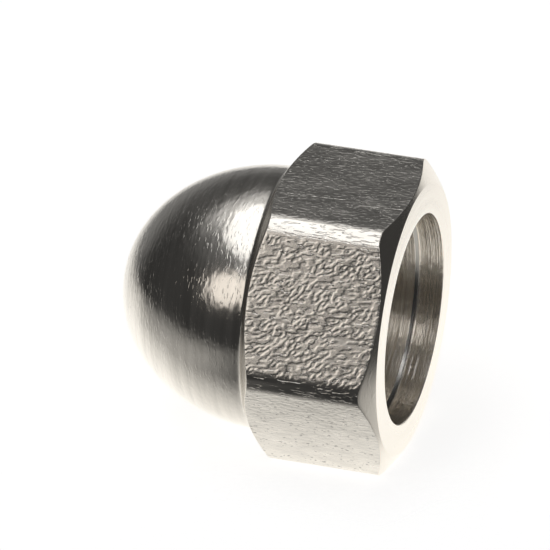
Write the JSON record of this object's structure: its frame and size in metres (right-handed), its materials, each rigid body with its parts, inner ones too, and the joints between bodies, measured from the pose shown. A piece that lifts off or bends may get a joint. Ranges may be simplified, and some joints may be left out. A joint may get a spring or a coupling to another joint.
{
  "type": "domed cap nut",
  "caption": "Hexagon cap nut with a closed rounded dome and a blind threaded bore with a plain stepped entry, to cover and close the end of a screw or threaded stem.",
  "frame": {"origin": "centre of the bearing face at the open end, on the thread's axis", "axes": "+X along the thread's axis out of the mouth, with the dome towards -X; +Z out of the top flat; the nut lies on the flat that faces -Z"},
  "size_m": [0.018, 0.0192, 0.017],
  "materials": {
    "steel": "turned dome and end face, drawn bar skin on the flats"
  },
  "bodies": {
    "root": {"cap_nut": "steel"}
  },
  "joints": []
}
